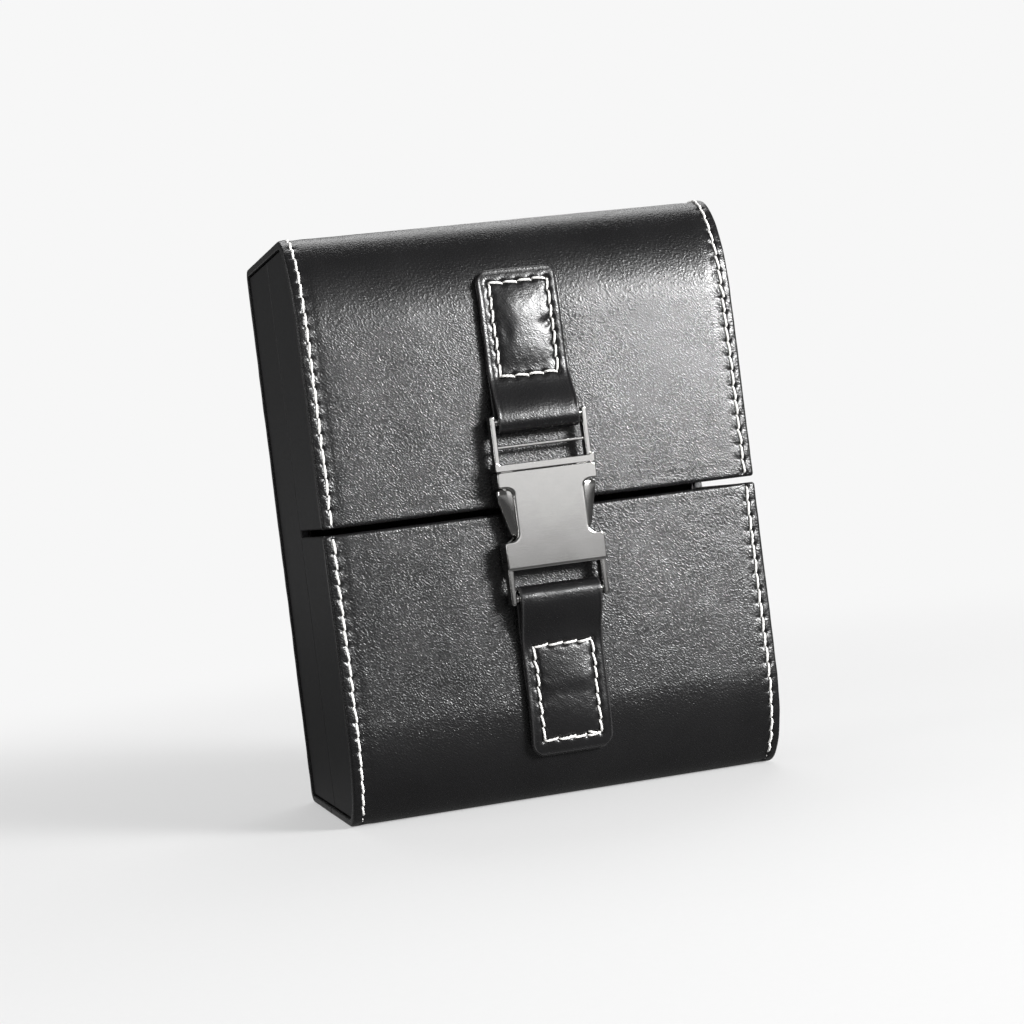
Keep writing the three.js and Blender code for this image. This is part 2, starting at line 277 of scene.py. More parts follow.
def sheet(name, path, sec, thick, step=0.45, start_r=(0.0, 0.0), end_r=(0.0, 0.0), move=None, width=None):
    """A closed sheet along a path. start_r and end_r are the rounding radii (outer, inner) of its two ends.
    move(S, X, W) gives how far points go out and sideways, and width(s) scales x."""
    big_s, big_e = max(start_r), max(end_r)
    st = stations(path.length, step, big_s, big_e)
    s = np.array([a for a, _ in st])
    cut = np.array([b for _, b in st])
    is_start = s < path.length / 2
    ro = np.where(is_start, start_r[0], end_r[0])
    ri = np.where(is_start, start_r[1], end_r[1])
    big = np.where(is_start, big_s, big_e)
    with np.errstate(divide="ignore", invalid="ignore"):
        fo = np.where(big > 0, cut * ro / np.maximum(big, 1e-9), 0.0)
        fi = np.where(big > 0, cut * ri / np.maximum(big, 1e-9), 0.0)
    X, Hh, W = sec[:, 0], sec[:, 1], sec[:, 2]
    S = np.repeat(s[:, None], len(X), 1)
    XX = np.repeat(X[None], len(s), 0)
    share = (Hh + thick) / thick                      # 1 outside, 0 inside
    HH = Hh[None] - fo[:, None] * share[None] + fi[:, None] * (1 - share[None])
    if width is not None:
        XX = XX * np.array([width(v) for v in s])[:, None]
    XX = XX * (1 - np.maximum(fo, fi)[:, None] / max(abs(X).max(), 1) * 0.7)
    WW = np.repeat(W[None], len(s), 0)
    dn, dx = (0.0, 0.0) if move is None else move(S, XX, WW)
    y, z, ny, nz = path.at(S, HH + dn)
    V = np.stack([XX + dx, y, z], -1).reshape(-1, 3)
    n, m = len(s), len(X)
    faces = []
    for i in range(n - 1):
        a, b = i * m, (i + 1) * m
        for j in range(m):
            k = (j + 1) % m
            faces.append((a + j, a + k, b + k, b + j))
    # ends: each closed as one face
    faces.append(tuple(range(m - 1, -1, -1)))
    faces.append(tuple((n - 1) * m + j for j in range(m)))
    ob = new_object(name, V, faces)
    fix_normals(ob)
    return ob


# ------------------------------------------------------------------ stitching
class Row:
    """Needle holes of one stitch row along a path."""

    def __init__(self, seed, s0, s1, pitch=PITCH):
        r = np.random.default_rng(seed)
        n = max(2, int(round((s1 - s0) / pitch)))
        self.hole = np.linspace(s0, s1, n + 1)
        self.hole[1:-1] += r.normal(0, 0.13, n - 1)
        self.slant = r.normal(0.20, 0.07, n)
        self.off = r.normal(0, 0.07, n + 1)
        self.puff = r.uniform(0.55, 1.35, n)
        self.n = n

    def near(self, s):
        """(distance to the nearest hole, share along the stitch 0..1, index of the stitch)"""
        i = np.clip(np.searchsorted(self.hole, s) - 1, 0, self.n - 1)
        a, b = self.hole[i], self.hole[i + 1]
        t = np.clip((s - a) / (b - a), 0, 1)
        d = np.minimum(np.abs(s - a), np.abs(s - b))
        return d, t, i


def ramp01(v, a, b):
    u = np.clip((np.asarray(v, float) - a) / (b - a), 0, 1)
    return u * u * (3 - 2 * u)


RIDGE = 0.40


def ridge(d):
    """Height of the turned edge beside a stitch row, d outwards from the row."""
    return RIDGE * ramp01(d, -0.55, 0.30) * (1 - 0.85 * np.clip((d - 0.2) / 2.8, 0, 1))


RUMPLE = smooth_noise(9, 12, 0.10, 0.34)


def pucker(row, s, d, w, inner=1.0):
    """Leather beside a stitch row: d is the distance past the row towards the edge."""
    dist, t, i = row.near(s)
    fade = np.clip((s - row.hole[0] + 1.5) / 1.5, 0, 1) * np.clip((row.hole[-1] + 1.5 - s) / 1.5, 0, 1)
    lift = np.sin(math.pi * t) ** 2 * row.puff[i]
    g = ridge(d) - 0.20 * np.exp(-((d / 0.40) ** 2)) - 0.06 * np.exp(-(((d + 1.2) / 0.8) ** 2))
    # each needle hole pulls a small dent across the row, and the leather rises between them
    hole = -0.52 * np.exp(-((d / 0.88) ** 2) - (dist / 0.42) ** 2) - 0.05 * np.exp(-((d / 1.5) ** 2) - (dist / 0.9) ** 2)
    puff_out = 0.04 * lift * np.exp(-(((d - 1.3) / 0.9) ** 2))
    puff_in = 0.06 * lift * np.exp(-(((d + 1.5) / 1.0) ** 2)) * inner
    rumple = 0.030 * RUMPLE(s, d * 1.4) * ramp01(d, 0.1, 0.9)
    return w * (g + fade * (hole + puff_out + puff_in + rumple))


def yarn(points, normals, radius, twist, start_phase=0.0, sides=10):
    """One stitch: a two-ply thread along points, thinner where it goes into the leather."""
    p, nrm = np.asarray(points), np.asarray(normals)
    n = len(p)
    t = np.gradient(p, axis=0)
    t /= np.linalg.norm(t, axis=1)[:, None]
    b = np.cross(t, nrm)
    b /= np.linalg.norm(b, axis=1)[:, None]
    c = np.cross(b, t)
    verts = []
    for i in range(n):
        u = i / (n - 1)
        for j in range(sides):
            a = 2 * math.pi * j / sides
            ph = start_phase + 2 * math.pi * twist * u
            r = radius[i] * (1 + 0.13 * math.cos(2 * a - ph))
            verts.append(p[i] + r * (math.cos(a) * b[i] + 0.92 * math.sin(a) * c[i]))
    faces = []
    for i in range(n - 1):
        for j in range(sides):
            k = (j + 1) % sides
            faces.append((i * sides + j, i * sides + k, (i + 1) * sides + k, (i + 1) * sides + j))
    faces.append(tuple(range(sides - 1, -1, -1)))
    faces.append(tuple((n - 1) * sides + j for j in range(sides)))
    return np.array(verts), faces


def stitch(surf, a, b, seed, radius=0.44, mid=0.10, hole=-0.75, steps=15):
    """A stitch between two places (s, x) on a surface. surf(s, x, h) gives a point and the outward normal."""
    r = np.random.default_rng(seed)
    t = np.linspace(0, 1, steps)
    bow = r.normal(0, 0.05)
    s = a[0] + (b[0] - a[0]) * t
    x = a[1] + (b[1] - a[1]) * t
    du, dv = b[0] - a[0], b[1] - a[1]
    l = math.hypot(du, dv)
    s, x = s - dv / l * bow * np.sin(math.pi * t), x + du / l * bow * np.sin(math.pi * t)
    sag = np.abs(2 * t - 1) ** 4.5
    p0, n0 = surf(s, x, 0.0)
    h = mid - (mid - hole) * sag
    if callable(mid):
        h = mid(n0) - (mid(n0) - hole) * sag
    p, n = surf(s, x, h)
    rad = radius * (1 - 0.32 * np.abs(2 * t - 1) ** 5) * r.uniform(0.95, 1.05)
    return yarn(p, n, rad, twist=3.2, start_phase=r.uniform(0, 6.28))


def on_path(path):
    def surf(s, x, h):
        y, z, ny, nz = path.at(s, h)
        return np.stack([x + 0 * y, y, z], -1), np.stack([0 * y, ny, nz], -1)

    return surf


def row_mesh(name, path, row, side, seed, lower_bound_free=True):
    surf = on_path(path)

    def mid(n):
        return 0.20 - 0.64 * ramp01(-n[:, 2], 0.55, 0.97)             # pressed flat under the case

    parts = []
    for i in range(row.n):
        x = side * THREAD_X
        a = (row.hole[i], x + side * (row.off[i] - row.slant[i]))
        b = (row.hole[i + 1], x + side * (row.off[i + 1] + row.slant[i]))
        r = np.random.default_rng(seed + i)
        t = np.linspace(0, 1, 15)
        s = a[0] + (b[0] - a[0]) * t
        xx = a[1] + (b[1] - a[1]) * t + r.normal(0, 0.05) * np.sin(math.pi * t)
        sag = np.abs(2 * t - 1) ** 4.5
        _, n0 = surf(s, xx, 0.0)
        h = mid(n0) - 1.05 * sag
        p, n = surf(s, xx, h)
        rad = 0.37 * (1 - 0.30 * np.abs(2 * t - 1) ** 5) * r.uniform(0.95, 1.06)
        parts.append(yarn(p, n, rad, 3.2, r.uniform(0, 6.28)))
    v, f = join_arrays(parts)
    return new_object(name, v, f)


# ------------------------------------------------------------------ plates with rounded edges
def inset_outline(pts, d):
    p = np.asarray(pts, float)
    a = np.roll(p, 1, 0)
    b = np.roll(p, -1, 0)
    e0, e1 = p - a, b - p
    e0 /= np.linalg.norm(e0, axis=1)[:, None]
    e1 /= np.linalg.norm(e1, axis=1)[:, None]
    area = 0.5 * np.sum(p[:, 0] * b[:, 1] - b[:, 0] * p[:, 1])
    sg = 1.0 if area > 0 else -1.0
    n0, n1 = sg * np.stack([-e0[:, 1], e0[:, 0]], 1), sg * np.stack([-e1[:, 1], e1[:, 0]], 1)
    m = n0 + n1
    m /= np.maximum(1 + np.sum(n0 * n1, 1), 0.3)[:, None]
    return p + m * np.broadcast_to(d, len(p))[:, None]


def plate(outline, t0, t1, r0, r1, place, steps=4, dome=(), flat=0.06, wide=None):
    """A solid of an outline between two levels, with rounded edges. place(u, v, t) gives the point.
    dome holds (inset, rise) steps that crown the t1 side."""
    sgn = 1 if t1 > t0 else -1
    levels = [(r0 + flat, t0)] if flat else []
    for i in range(steps + 1):
        a = math.pi / 2 * i / steps
        levels.append((r0 * (1 - math.sin(a)), t0 + sgn * r0 * (1 - math.cos(a))))
    for i in range(steps + 1):
        a = math.pi / 2 * i / steps
        levels.append((r1 * (1 - math.cos(a)), t1 - sgn * r1 * (1 - math.sin(a))))
    if flat:
        levels.append((r1 + flat, t1))
    for inset, rise in dome:
        levels.append((inset, t1 + sgn * rise))
    verts, m = [], len(outline)
    for inset, t in levels:
        d = inset if wide is None or (t - t0) * sgn < abs(t1 - t0) / 2 else inset * np.asarray(wide)
        q = inset_outline(outline, d) if inset > 1e-9 else np.asarray(outline, float)
        verts += [place(u, v, t) for u, v in q]
    faces = []
    for i in range(len(levels) - 1):
        for j in range(m):
            k = (j + 1) % m
            faces.append((i * m + j, i * m + k, (i + 1) * m + k, (i + 1) * m + j))
    faces.append(tuple(range(m - 1, -1, -1)))
    faces.append(tuple((len(levels) - 1) * m + j for j in range(m)))
    return np.array(verts), faces


def arc2(cx, cz, r, a0, a1, k=6):
    return [[cx + r * math.cos(math.radians(a0 + (a1 - a0) * i / k)), cz + r * math.sin(math.radians(a0 + (a1 - a0) * i / k))] for i in range(k + 1)]


def round_corners(pts, radii, k=5):
    """A polygon with each corner rounded by its own radius."""
    p = np.asarray(pts, float)
    n = len(p)
    out = []
    for i in range(n):
        r = radii[i] if hasattr(radii, "__len__") else radii
        a, b, c = p[i - 1], p[i], p[(i + 1) % n]
        if r <= 0:
            out.append(b.tolist())
            continue
        u, v = (a - b) / np.linalg.norm(a - b), (c - b) / np.linalg.norm(c - b)
        ang = math.acos(np.clip(u @ v, -1, 1))
        cut = min(r / math.tan(ang / 2), 0.49 * np.linalg.norm(a - b), 0.49 * np.linalg.norm(c - b))
        rr = cut * math.tan(ang / 2)
        centre = b + (u + v) / np.linalg.norm(u + v) * (rr / math.sin(ang / 2))
        s, e = b + u * cut - centre, b + v * cut - centre
        a0, a1 = math.atan2(s[1], s[0]), math.atan2(e[1], e[0])
        d = (a1 - a0 + math.pi) % (2 * math.pi) - math.pi
        for j in range(k + 1):
            t = a0 + d * j / k
            out.append([centre[0] + rr * math.cos(t), centre[1] + rr * math.sin(t)])
    return out


def sharp_shade(ob, angle=35):
    me = ob.data
    bm = bmesh.new()
    bm.from_mesh(me)
    for e in bm.edges:
        e.smooth = not (len(e.link_faces) == 2 and e.calc_face_angle(0) > math.radians(angle))
    for f in bm.faces:
        f.smooth = True
    bm.to_mesh(me)
    bm.free()
    return ob


# ------------------------------------------------------------------ materials
class Nodes:
    """Short names for building a node tree."""

    def __init__(self, name):
        self.mat = bpy.data.materials.new(name)
        self.mat.use_nodes = True
        self.t = self.mat.node_tree
        self.bsdf = next(n for n in self.t.nodes if n.type == "BSDF_PRINCIPLED")
        self.out = next(n for n in self.t.nodes if n.type == "OUTPUT_MATERIAL")
        self.place = self.new("ShaderNodeAttribute")
        self.place.attribute_name = "rest_place"

    def new(self, kind, **props):
        n = self.t.nodes.new(kind)
        for k, v in props.items():
            setattr(n, k, v)
        return n

    def link(self, a, b):
        self.t.links.new(a, b)

    def mapping(self, scale=(1, 1, 1), rotation=(0, 0, 0), source=None):
        m = self.new("ShaderNodeMapping")
        m.inputs["Scale"].default_value = scale
        m.inputs["Rotation"].default_value = rotation
        self.link(source or self.place.outputs["Vector"], m.inputs["Vector"])
        return m.outputs["Vector"]

    def noise(self, vec, scale, detail=2.0, rough=0.5, distortion=0.0):
        n = self.new("ShaderNodeTexNoise")
        n.inputs["Scale"].default_value = scale
        n.inputs["Detail"].default_value = detail
        n.inputs["Roughness"].default_value = rough
        n.inputs["Distortion"].default_value = distortion
        self.link(vec, n.inputs["Vector"])
        return n.outputs["Fac"]

    def noise_vec(self, vec, scale, detail=2.0):
        n = self.new("ShaderNodeTexNoise")
        n.inputs["Scale"].default_value = scale
        n.inputs["Detail"].default_value = detail
        self.link(vec, n.inputs["Vector"])
        return n.outputs["Color"]

    def voronoi(self, vec, scale, feature="F1", smooth=None):
        n = self.new("ShaderNodeTexVoronoi", feature=feature)
        n.inputs["Scale"].default_value = scale
        if smooth is not None and "Smoothness" in n.inputs:
            n.inputs["Smoothness"].default_value = smooth
        self.link(vec, n.inputs["Vector"])
        return n.outputs["Distance"]

    def math(self, op, a, b=None, c=None, clamp=False):
        n = self.new("ShaderNodeMath", operation=op, use_clamp=clamp)
        for i, v in enumerate((a, b, c)):
            if v is None:
                continue
            if isinstance(v, (int, float)):
                n.inputs[i].default_value = v
            else:
                self.link(v, n.inputs[i])
        return n.outputs[0]

    def span(self, v, a, b, c, d):
        n = self.new("ShaderNodeMapRange", clamp=True)
        self.link(v, n.inputs[0])
        for i, x in enumerate((a, b, c, d)):
            n.inputs[i + 1].default_value = x
        return n.outputs[0]

    def ramp(self, v, stops):
        n = self.new("ShaderNodeValToRGB")
        e = n.color_ramp.elements
        e[0].position, e[0].color = stops[0][0], (*stops[0][1], 1)
        e[1].position, e[1].color = stops[-1][0], (*stops[-1][1], 1)
        for p, col in stops[1:-1]:
            x = e.new(p)
            x.color = (*col, 1)
        self.link(v, n.inputs[0])
        return n.outputs[0]

    def mix(self, fac, a, b, blend="MIX"):
        n = self.new("ShaderNodeMix", data_type="RGBA", blend_type=blend)
        for i, v in ((0, fac), (6, a), (7, b)):
            if isinstance(v, (int, float)):
                n.inputs[i].default_value = v
            elif isinstance(v, tuple):
                n.inputs[i].default_value = (*v, 1)
            else:
                self.link(v, n.inputs[i])
        return n.outputs[2]

    def warp(self, vec, scale, amount):
        """vec pushed about by noise, so that cells aren't straight-edged"""
        n = self.noise_vec(vec, scale)
        s = self.new("ShaderNodeVectorMath", operation="SUBTRACT")
        s.inputs[1].default_value = (0.5, 0.5, 0.5)
        self.link(n, s.inputs[0])
        k = self.new("ShaderNodeVectorMath", operation="SCALE")
        k.inputs["Scale"].default_value = amount
        self.link(s.outputs[0], k.inputs[0])
        a = self.new("ShaderNodeVectorMath", operation="ADD")
        self.link(vec, a.inputs[0])
        self.link(k.outputs[0], a.inputs[1])
        return a.outputs[0]

    def bump(self, height, distance, strength=1.0, after=None):
        n = self.new("ShaderNodeBump")
        n.inputs["Strength"].default_value = strength
        n.inputs["Distance"].default_value = distance
        self.link(height, n.inputs["Height"])
        if after is not None:
            self.link(after, n.inputs["Normal"])
        return n.outputs["Normal"]

    def edge(self):
        n = self.new("ShaderNodeAttribute")
        n.attribute_name = "edge"
        return n.outputs["Fac"]

    def set(self, **values):
        for k, v in values.items():
            s = self.bsdf.inputs[k.replace("_", " ")]
            if isinstance(v, (int, float)):
                s.default_value = v
            elif isinstance(v, tuple):
                s.default_value = (*v, 1) if len(v) == 3 and s.type == "RGBA" else v
            else:
                self.link(v, s)
        return self.mat


def leather_material(name, base, light, grain, depth, rough, cells=1000.0, stretch=(0.62, 1.0, 1.35), tilt=0.9, coat=0.0, edge_paint_and_highlight=None):
    n = Nodes(name)
    # short slanting wrinkles: turned first, then drawn out along their own direction
    turned = n.mapping(rotation=(0, tilt, 0))
    drawn = n.new("ShaderNodeVectorMath", operation="MULTIPLY")
    n.link(turned, drawn.inputs[0])
    drawn.inputs[1].default_value = stretch
    vec = drawn.outputs["Vector"]
    peb = n.span(n.noise(vec, cells, 1.0, 0.5), 0.28, 0.72, 0.0, 1.0)
    big = n.noise(n.place.outputs["Vector"], 60, 3.0)
    patch = n.noise(n.place.outputs["Vector"], 14, 2.0)
    fine = n.noise(n.place.outputs["Vector"], cells * 4.2, 3.0, 0.6)
    uneven = n.span(n.noise(n.place.outputs["Vector"], 230, 2.0), 0.3, 0.7, 0.90, 1.06)
    h = n.math("MULTIPLY", peb, uneven)
    h = n.math("MULTIPLY", h, grain)
    h = n.math("ADD", h, n.math("MULTIPLY", fine, 0.05))
    nor = n.bump(h, depth)
    tone = n.math("ADD", n.math("MULTIPLY", big, 0.45), n.math("MULTIPLY", patch, 0.35))
    tone = n.math("ADD", tone, n.math("MULTIPLY", peb, 0.2))
    col = n.mix(n.span(tone, 0.30, 0.75, 0.0, 1.0), base, light)
    r = n.math("ADD", n.span(peb, 0, 1, rough + 0.06, rough), n.span(big, 0.3, 0.7, -0.012, 0.016))
    # lighter colour along the leather's edges: partly real edge paint, partly a painted highlight where the rounded
    # edge catches the light
    if edge_paint_and_highlight is not None:
        e = n.edge()
        col = n.mix(n.span(e, 0.35, 0.9, 0.0, 1.0), col, edge_paint_and_highlight)
        r = n.math("ADD", r, n.span(e, 0.3, 0.9, 0.0, -0.06))
    return n.set(Base_Color=col, Roughness=r, Normal=nor, Coat_Weight=coat, Coat_Roughness=0.25, Specular_IOR_Level=0.5)


def thread_material(name, a, b):
    n = Nodes(name)
    fib = n.noise(n.mapping(scale=(1, 1, 1)), 5200, 3.0, 0.6)
    lump = n.noise(n.place.outputs["Vector"], 900, 2.0)
    col = n.mix(n.span(fib, 0.3, 0.7, 0.0, 1.0), a, b)
    col = n.mix(n.span(lump, 0.35, 0.75, 0.0, 0.35), col, (0.30, 0.29, 0.27))
    return n.set(Base_Color=col, Roughness=n.span(fib, 0.2, 0.8, 0.62, 0.85), Normal=n.bump(fib, 0.00006, 0.8), Sheen_Weight=0.15)


def metal_material(name):
    n = Nodes(name)
    vec = n.place.outputs["Vector"]
    haze = n.noise(vec, 90, 3.0, 0.55)
    fine = n.noise(n.mapping(scale=(260, 260, 9000), rotation=(0, 0.12, 0)), 1.0, 3.0, 0.6)
    wave = n.noise(vec, 75, 1.0)
    pit = n.noise(vec, 3800, 2.0)
    col = n.mix(n.span(haze, 0.35, 0.7, 0.0, 1.0), (0.80, 0.79, 0.775), (0.765, 0.755, 0.745))
    r = n.math("ADD", n.span(haze, 0.3, 0.75, 0.10, 0.135), n.span(pit, 0.5, 0.8, 0.0, 0.05))
    h = n.math("ADD", n.math("MULTIPLY", fine, 0.05), n.math("MULTIPLY", wave, 0.5))
    return n.set(Base_Color=col, Metallic=1.0, Roughness=r, Normal=n.bump(h, 0.00018, 0.25))


def board_material(name):
    n = Nodes(name)
    v = n.mapping(scale=(18, 60, 60))
    g = n.noise(v, 5.0, 5.0, 0.6, 1.2)
    ply = n.new("ShaderNodeTexWave", wave_type="BANDS", bands_direction="Y")
    ply.inputs["Scale"].default_value = 520
    ply.inputs["Distortion"].default_value = 1.5
    n.link(n.place.outputs["Vector"], ply.inputs["Vector"])
    col = n.ramp(g, [(0.25, (0.17, 0.11, 0.06)), (0.5, (0.30, 0.21, 0.12)), (0.8, (0.40, 0.30, 0.18))])
    col = n.mix(n.span(ply.outputs["Fac"], 0.3, 0.7, 0.0, 0.35), col, (0.16, 0.10, 0.055))
    return n.set(Base_Color=col, Roughness=n.span(g, 0.2, 0.8, 0.6, 0.8), Normal=n.bump(g, 0.00012))


def lining_material(name):
    n = Nodes(name)
    vec = n.place.outputs["Vector"]
    nap = n.noise(vec, 4200, 3.0, 0.65)
    brushed = n.noise(n.mapping(scale=(1, 1, 0.35)), 120, 3.0)
    col = n.mix(n.span(nap, 0.3, 0.7, 0.0, 1.0), (0.020, 0.019, 0.019), (0.055, 0.052, 0.050))
    col = n.mix(n.span(brushed, 0.35, 0.7, 0.0, 0.4), col, (0.075, 0.071, 0.068))
    return n.set(Base_Color=col, Roughness=n.span(nap, 0.2, 0.8, 0.85, 0.98), Normal=n.bump(nap, 0.00022, 0.9), Sheen_Weight=0.35)


# the lighter edge colour given to both leathers is partly real edge paint and partly a painted highlight
LEATHER = leather_material("grained_leather", (0.0042, 0.0041, 0.0044), (0.0085, 0.0083, 0.0087), 1.0, 0.000051, 0.250, cells=2650.0, stretch=(0.52, 1.0, 1.0), tilt=-0.73, edge_paint_and_highlight=(0.023, 0.0225, 0.023))
END_LEATHER = leather_material("end_leather", (0.010, 0.010, 0.011), (0.017, 0.017, 0.0185), 0.35, 0.00009, 0.43, cells=1900.0)
STRAP_LEATHER = leather_material("strap_leather", (0.0040, 0.0039, 0.0042), (0.0080, 0.0078, 0.0082), 0.8, 0.000042, 0.264, cells=2650.0, stretch=(0.52, 1.0, 1.0), tilt=-0.73, coat=0.0, edge_paint_and_highlight=(0.023, 0.0225, 0.023))
THREAD = thread_material("off_white_thread", (0.66, 0.65, 0.63), (0.84, 0.83, 0.81))
METAL = metal_material("polished_nickel")
BOARD = board_material("plywood")
LINING = lining_material("flocked_lining")


def set_edge(ob, values):
    a = ob.data.attributes.new("edge", "FLOAT", "POINT")
    a.data.foreach_set("value", np.asarray(values, np.float32))


# ------------------------------------------------------------------ camera, floor and light
def camera():
    cam = bpy.data.cameras.new("camera")
    cam.lens, cam.sensor_width = 80.86, 36.0
    cam.clip_start, cam.clip_end = 0.01, 50
    ob = bpy.data.objects.new("camera", cam)
    right, up, back = (0.96344, -0.23755, -0.12392), (0.12344, -0.01699, 0.99221), (-0.23780, -0.97123, 0.01296)
    m = Matrix([[right[i], up[i], back[i], (-0.16623, -0.67994, 0.09309)[i]] for i in range(3)] + [[0, 0, 0, 1]])
    ob.matrix_world = m
    bpy.context.scene.collection.objects.link(ob)
    bpy.context.scene.camera = ob


BACKDROP = 0.93


def stage():
    # floor: a round sheet with a hill-free middle that glows: about half glow under the case, painted light that
    # lightens its cast shadow and lights the case from below, and full glow far out, where it shines like the sky
    # behind it
    rings = np.concatenate([np.linspace(0.0, 0.5, 9)[1:], np.geomspace(0.6, 12.0, 18)])
    seg = 96
    verts, faces = [[0, 0, 0]], []
    for r in rings:
        verts += [[r * 1000 * math.cos(2 * math.pi * j / seg), r * 1000 * math.sin(2 * math.pi * j / seg), -0.15] for j in range(seg)]
    verts[0][2] = -0.15
    for j in range(seg):
        faces.append((0, 1 + j, 1 + (j + 1) % seg))
    for i in range(len(rings) - 1):
        for j in range(seg):
            k = (j + 1) % seg
            a, b = 1 + i * seg, 1 + (i + 1) * seg
            faces.append((a + j, b + j, b + k, a + k))
    floor = new_object("floor", verts, faces)
    n = Nodes("floor_paper")
    geo = n.new("ShaderNodeNewGeometry")
    length = n.new("ShaderNodeVectorMath", operation="LENGTH")
    n.link(geo.outputs["Position"], length.inputs[0])
    far = n.new("ShaderNodeMapRange", interpolation_type="SMOOTHERSTEP")
    n.link(length.outputs["Value"], far.inputs[0])
    for i, x in enumerate((0.12, 0.75, 0.48, 1.0)):
        far.inputs[i + 1].default_value = x
    paper = n.noise(geo.outputs["Position"], 420, 3.0)
    col = n.mix(paper, (0.60, 0.60, 0.60), (0.63, 0.63, 0.63))
    n.set(Base_Color=col, Roughness=0.75, Specular_IOR_Level=0.2)
    seen = n.new("ShaderNodeLightPath")
    em = n.new("ShaderNodeEmission")
    em.inputs["Color"].default_value = (1, 1, 1, 1)
    n.link(n.span(seen.outputs["Is Camera Ray"], 0, 1, 0.30, BACKDROP), em.inputs["Strength"])
    mx = n.new("ShaderNodeMixShader")
    n.link(far.outputs[0], mx.inputs[0])
    n.link(n.bsdf.outputs[0], mx.inputs[1])
    n.link(em.outputs[0], mx.inputs[2])
    # painted light: in reflections the floor is a glow, stronger close under the case, where the case's bottom curve
    # reflects it, and again far out
    dim = n.new("ShaderNodeEmission")
    dim.inputs["Color"].default_value = (1, 1, 1, 1)
    near = n.span(length.outputs["Value"], 0.085, 0.16, 0.12, 0.03)
    n.link(n.math("ADD", near, n.span(length.outputs["Value"], 0.9, 1.5, 0.0, 0.22)), dim.inputs["Strength"])
    gl = n.new("ShaderNodeMixShader")                # the object's gloss sees a darker table than the camera does
    n.link(n.math("MULTIPLY", seen.outputs["Is Glossy Ray"], 0.92), gl.inputs[0])
    n.link(mx.outputs[0], gl.inputs[1])
    n.link(dim.outputs[0], gl.inputs[2])
    n.link(gl.outputs[0], n.out.inputs["Surface"])
    floor.data.materials.append(n.mat)

    world = bpy.data.worlds.new("studio")
    bpy.context.scene.world = world
    world.use_nodes = True
    t = world.node_tree
    bg = t.nodes["Background"]
    lp = t.nodes.new("ShaderNodeLightPath")
    gloss = t.nodes.new("ShaderNodeMapRange")
    gloss.inputs[3].default_value, gloss.inputs[4].default_value = 0.30, 0.07
    t.links.new(lp.outputs["Is Glossy Ray"], gloss.inputs[0])
    mr = t.nodes.new("ShaderNodeMapRange")
    mr.inputs[4].default_value = BACKDROP
    t.links.new(gloss.outputs[0], mr.inputs[3])
    t.links.new(lp.outputs["Is Camera Ray"], mr.inputs[0])
    t.links.new(mr.outputs[0], bg.inputs["Strength"])
    bg.inputs["Color"].default_value = (1, 1, 1, 1)

    def area(name, where, towards, w, h, power):
        li = bpy.data.lights.new(name, "AREA")
        li.shape, li.size, li.size_y, li.energy = "RECTANGLE", w, h, power
        ob = bpy.data.objects.new(name, li)
        ob.location = where
        ob.rotation_euler = (Vector(towards) - Vector(where)).to_track_quat("-Z", "Y").to_euler()
        ob.visible_camera = False
        bpy.context.scene.collection.objects.link(ob)

    area("key", (0.97, -1.39, 0.62), (0, 0, 0.10), 0.80, 0.35, 35)
    area("kicker", (0.90, -1.40, 0.51), (0, 0, 0.10), 0.34, 0.34, 33)
    area("front_card", (0.75, -2.3, 0.52), (0, 0, 0.10), 2.2, 1.0, 4.6)
    area("back", (0.2, 0.95, 1.5), (0, 0, 0.05), 1.3, 0.9, 13)
    area("back_card", (0.95, 1.8, 0.75), (0, 0, 0.09), 1.2, 0.9, 5)
    area("left_strip", (-1.45, -0.75, 0.50), (0, 0, 0.09), 0.22, 0.95, 3.2)
    area("left_fill", (-1.6, 0.5, 0.7), (0, 0, 0.09), 0.8, 1.0, 4)
    bpy.context.scene.view_settings.view_transform = "Standard"
    bpy.context.scene.view_settings.look = "None"


camera()
stage()

# ------------------------------------------------------------------ leather skins with their stitch rows
UNEVEN = smooth_noise(11, 9, 0.012, 0.06)
CREASE = smooth_noise(12, 12, 0.08, 0.30)
EDGE_WAVE = smooth_noise(13, 8, 0.02, 0.12)


def skin_move(path, rows, lip_end=None):
    """rows is {side: Row}. How far the points of a skin go in or out, and sideways."""

    def move(S, X, W):
        y, z, ny, nz = path.at(S, 0)
        u = X + 0.35 * y
        v = z - 0.9 * y
        inside = np.clip((XE - np.abs(X)) / 5.0, 0, 1)
        flat_back = np.clip((np.abs(ny) * (y > 0) + (nz < -0.7)) * 1.0, 0, 1)   # what it stands and leans on stays flat
        h = W * (0.07 * UNEVEN(u, v) * inside + 0.018 * CREASE(u, v)) * (1 - 0.75 * flat_back)
        # the board behind ends short of the sides, and the leather dips a little past it
        h = h - W * 0.10 * np.exp(-(((np.abs(X) - 59.6) / 1.1) ** 2))
        for side, row in rows.items():
            d = side * X - THREAD_X
            h = h + np.where(side * X > 0, pucker(row, S, d, W), 0.0)
        edge = np.clip((np.abs(X) - 63.2) / 1.5, 0, 1)
        dx = np.sign(X) * edge * (0.10 * EDGE_WAVE(S + 40 * np.sign(X), 0 * S) - 0.10)
        h = h + edge * 0.03 * CREASE(S * 1.3, 7 * np.sign(X))
        if lip_end is not None:
            t = path.length - S
            h = h - W * 0.02 * np.exp(-(((t - 3.4) / 0.9) ** 2)) * inside
        limit = 1.3 * (1 - ramp01(-nz, 0.55, 0.97))
        return np.minimum(h, limit), dx

    return move


SKIN_SEC = section(XE, SKIN_T, 0.75, 0.30, 0.24, 2.4, 5.6)


